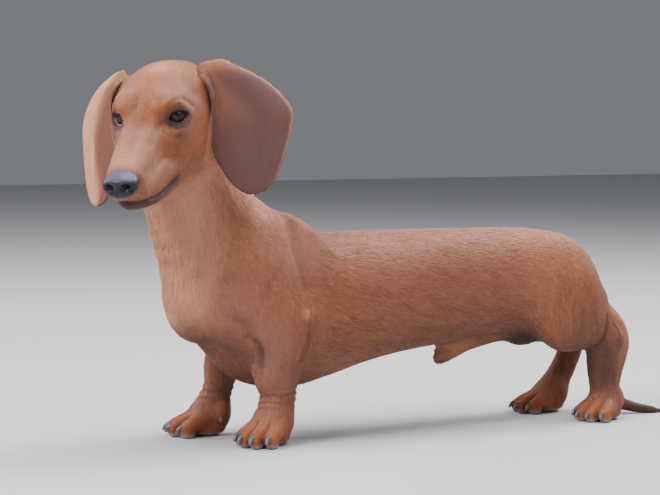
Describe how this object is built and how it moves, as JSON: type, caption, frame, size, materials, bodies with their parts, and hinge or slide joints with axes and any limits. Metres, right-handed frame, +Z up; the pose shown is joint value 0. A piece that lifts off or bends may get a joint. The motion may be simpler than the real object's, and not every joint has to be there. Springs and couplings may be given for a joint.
{
  "type": "dachshund model",
  "caption": "Life-size standing model of a smooth-haired red dachshund, long low body in profile, head turned to its left, tail down.",
  "frame": {"origin": "on the floor, under the middle of the box that holds the dog", "axes": "-X towards the dog's chest, -Y towards its left side, +Z up"},
  "size_m": [0.6164, 0.189, 0.3448],
  "materials": {
    "coat": "short, flat, slightly glossy reddish brown fur",
    "ear": "very short dark reddish brown fur on a thin ear leather",
    "nose_pad": "damp black grained nose leather",
    "claw": "smooth dark grey horn",
    "eyeball": "wet dark brown eye"
  },
  "bodies": {
    "root": {"torso": "coat", "neck": "coat", "head": "coat", "lower_jaw": "coat", "nose": "nose_pad", "eye_left": "eyeball", "eye_right": "eyeball", "ear_left": "ear", "ear_right": "ear", "foreleg_left": "coat", "foreleg_right": "coat", "dewclaw_left": "claw", "dewclaw_right": "claw", "thigh_left": "coat", "thigh_right": "coat", "hind_leg_left": "coat", "hind_leg_right": "coat", "foot_front_left": "coat", "foot_front_right": "coat", "foot_hind_left": "coat", "foot_hind_right": "coat", "claw_front_left_1": "claw", "claw_front_left_2": "claw", "claw_front_left_3": "claw", "claw_front_left_4": "claw", "claw_front_right_1": "claw", "claw_front_right_2": "claw", "claw_front_right_3": "claw", "claw_front_right_4": "claw", "claw_hind_left_1": "claw", "claw_hind_left_2": "claw", "claw_hind_left_3": "claw", "claw_hind_left_4": "claw", "claw_hind_right_1": "claw", "claw_hind_right_2": "claw", "claw_hind_right_3": "claw", "claw_hind_right_4": "claw", "tail_base": "coat", "tail_middle": "coat", "tail_tip": "coat"}
  },
  "joints": []
}
